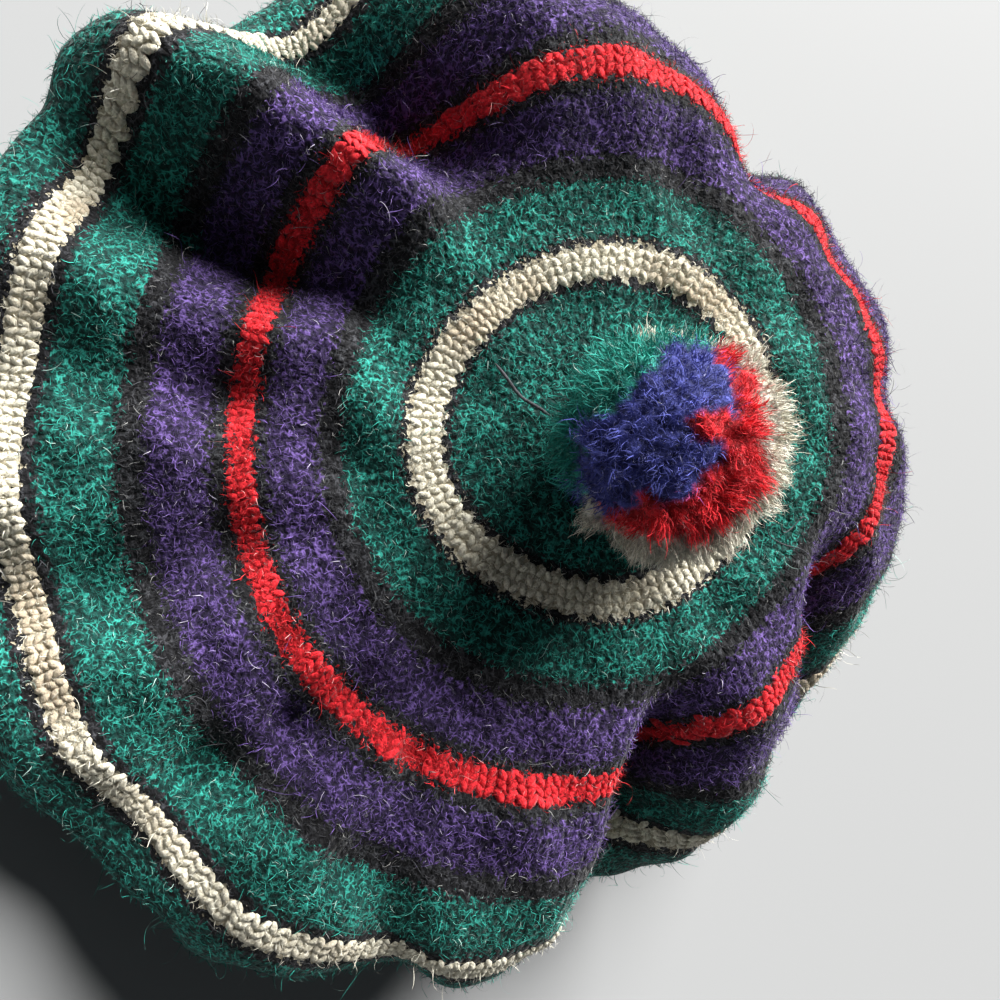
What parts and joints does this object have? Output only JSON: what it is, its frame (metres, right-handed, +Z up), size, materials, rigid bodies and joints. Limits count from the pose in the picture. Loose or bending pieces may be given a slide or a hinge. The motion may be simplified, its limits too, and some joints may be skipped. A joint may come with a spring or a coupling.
{
  "type": "tam o shanter",
  "caption": "Wide soft wool bonnet: a striped, folded round crown on a ribbed headband, with a pompom on the middle of its top.",
  "frame": {"origin": "on the resting surface, below the middle of the hat's outline seen from above", "axes": "+Z up out of the crown; -Y is the side that the crown slouches towards; +X to the right seen from that side"},
  "size_m": [0.2418, 0.2388, 0.1183],
  "materials": {
    "crown_wool": "fulled, hairy wool knitting in green, purple, red, cream and charcoal rings",
    "headband_wool": "ribbed charcoal wool knitting",
    "pompom_wool": "cut wool strands in blue violet, green, red and cream"
  },
  "bodies": {
    "root": {"crown": "crown_wool", "headband": "headband_wool", "pompom": "pompom_wool"}
  },
  "joints": []
}
